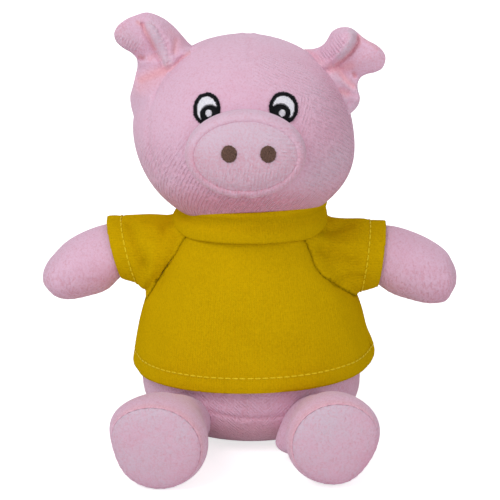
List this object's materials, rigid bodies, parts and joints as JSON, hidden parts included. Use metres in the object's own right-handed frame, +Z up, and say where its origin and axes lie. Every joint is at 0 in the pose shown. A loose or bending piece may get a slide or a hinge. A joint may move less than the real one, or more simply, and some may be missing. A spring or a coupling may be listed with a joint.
{
  "type": "plush pig",
  "caption": "seated plush pig with flopped ears, embroidered eyes and nostrils, and a short-sleeved jersey shirt; head, arms and legs turn at their seams",
  "frame": {"origin": "middle of the flat face under the torso that the toy sits on", "axes": "+Z up; the pig looks along -Y; +X is the pig's own left"},
  "size_m": [0.1688, 0.1272, 0.1797],
  "materials": {
    "plush": "short-pile pink plush",
    "sole_plush": "short-pile pink plush, greyer where the nap turns",
    "filling": "white polyester fibre",
    "jersey": "matt mustard jersey",
    "black_thread": "satin-stitched thread",
    "white_thread": "satin-stitched thread",
    "brown_thread": "satin-stitched thread"
  },
  "bodies": {
    "torso": {"torso_cover": "plush", "torso_filling": "filling", "tail": "plush", "shirt_front": "jersey", "shirt_back": "jersey", "sleeve_left": "jersey", "sleeve_right": "jersey", "neckband": "jersey"},
    "head": {"head_cover": "plush", "head_filling": "filling", "snout_band": "plush", "snout_panel": "plush", "snout_filling": "filling", "nostril_left": "brown_thread", "nostril_right": "brown_thread", "eye_left_black": "black_thread", "eye_left_white": "white_thread", "eye_left_glint": "white_thread", "ear_left_front": "plush", "ear_left_back": "plush", "eye_right_black": "black_thread", "eye_right_white": "white_thread", "eye_right_glint": "white_thread", "ear_right_front": "plush", "ear_right_back": "plush"},
    "arm_left": {"arm_left_cover": "plush", "arm_left_filling": "filling"},
    "leg_left": {"leg_left_cover": "plush", "leg_left_filling": "filling", "foot_left_sole": "sole_plush"},
    "arm_right": {"arm_right_cover": "plush", "arm_right_filling": "filling"},
    "leg_right": {"leg_right_cover": "plush", "leg_right_filling": "filling", "foot_right_sole": "sole_plush"}
  },
  "joints": [
    {"name": "neck_turn", "type": "hinge", "parent": "torso", "child": "head", "pos_m": [0, 0, 0.089], "axis": [0, 0, 1], "range_deg": [-40, 40], "stiffness_Nm_per_rad": 0.05},
    {"name": "shoulder_left", "type": "hinge", "parent": "torso", "child": "arm_left", "pos_m": [0.035, 0, 0.078], "axis": [0, -1, 0], "range_deg": [-10, 40], "stiffness_Nm_per_rad": 0.03, "springref_deg": 1.03, "deforming": ["sleeve_left"]},
    {"name": "hip_left", "type": "hinge", "parent": "torso", "child": "leg_left", "pos_m": [0.023, -0.0372, 0.0142], "axis": [0, 0, 1], "range_deg": [-12, 25], "stiffness_Nm_per_rad": 0.05},
    {"name": "shoulder_right", "type": "hinge", "parent": "torso", "child": "arm_right", "pos_m": [-0.035, 0, 0.078], "axis": [0, 1, 0], "range_deg": [-10, 40], "stiffness_Nm_per_rad": 0.03, "springref_deg": 1.03, "deforming": ["sleeve_right"]},
    {"name": "hip_right", "type": "hinge", "parent": "torso", "child": "leg_right", "pos_m": [-0.023, -0.0372, 0.0142], "axis": [0, 0, -1], "range_deg": [-12, 25], "stiffness_Nm_per_rad": 0.05}
  ]
}
